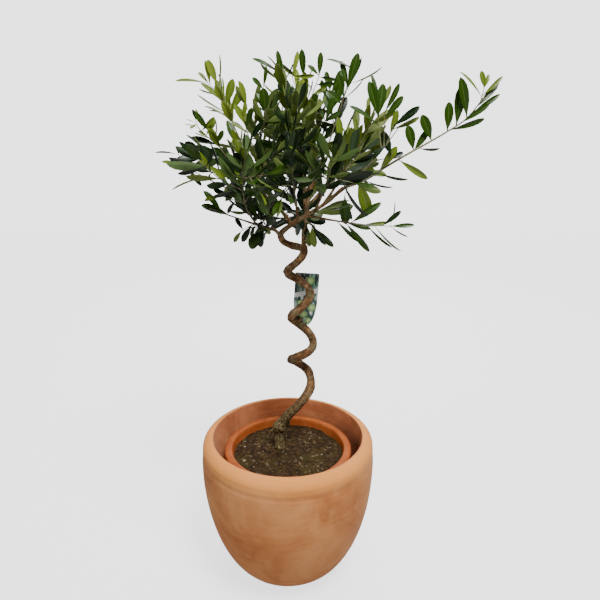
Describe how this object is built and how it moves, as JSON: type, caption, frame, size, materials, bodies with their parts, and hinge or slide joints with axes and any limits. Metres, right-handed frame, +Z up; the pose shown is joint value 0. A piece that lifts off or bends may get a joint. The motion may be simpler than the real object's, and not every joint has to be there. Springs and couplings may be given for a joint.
{
  "type": "potted olive tree with a corkscrew stem",
  "caption": "Small olive tree on a corkscrew stem, with an open evergreen crown, in a plastic nursery pot standing inside a rounded terracotta pot.",
  "frame": {"origin": "centre of the terracotta pot's flat underside", "axes": "+Z up along the pot's axis, front towards -Y, +X to the right as seen from the front"},
  "size_m": [0.5509, 0.3843, 0.967],
  "materials": {
    "terracotta": "unglazed fired clay, matt, mottled warm orange-brown",
    "nursery_plastic": "thin moulded plastic, brick red, slightly satin",
    "potting_soil": "damp potting mix with bark chips and specks",
    "bark": "grey-brown olive bark, fine scars and rings",
    "foliage": "leathery olive leaves, dark satin green above and grey-green below",
    "label_card": null,
    "label_tie": "thin brown garden tie"
  },
  "bodies": {
    "root": {"back_bough": "bark", "back_foliage": "foliage", "back_left_bough": "bark", "back_left_foliage": "foliage", "back_low_bough": "bark", "back_low_foliage": "foliage", "back_right_bough": "bark", "back_right_foliage": "foliage", "coil_bough": "bark", "front_bough": "bark", "front_foliage": "foliage", "front_left_bough": "bark", "front_left_foliage": "foliage", "front_right_bough": "bark", "front_right_foliage": "foliage", "hanging_left_bough": "bark", "hanging_left_foliage": "foliage", "hanging_right_bough": "bark", "hanging_right_foliage": "foliage", "label_card": "label_card", "label_tie": "label_tie", "leader_bough": "bark", "leader_foliage": "foliage", "left_bough": "bark", "left_far_bough": "bark", "left_far_foliage": "foliage", "left_foliage": "foliage", "left_high_bough": "bark", "left_high_foliage": "foliage", "left_low_bough": "bark", "left_low_foliage": "foliage", "nursery_pot": "nursery_plastic", "potting_soil": "potting_soil", "right_bough": "bark", "right_foliage": "foliage", "right_high_bough": "bark", "right_high_foliage": "foliage", "right_low_bough": "bark", "right_low_foliage": "foliage", "right_middle_bough": "bark", "right_middle_foliage": "foliage", "terracotta_pot": "terracotta", "top_left_bough": "bark", "top_left_foliage": "foliage", "top_right_bough": "bark", "top_right_foliage": "foliage", "trunk": "bark", "upper_left_bough": "bark", "upper_left_foliage": "foliage"}
  },
  "joints": []
}
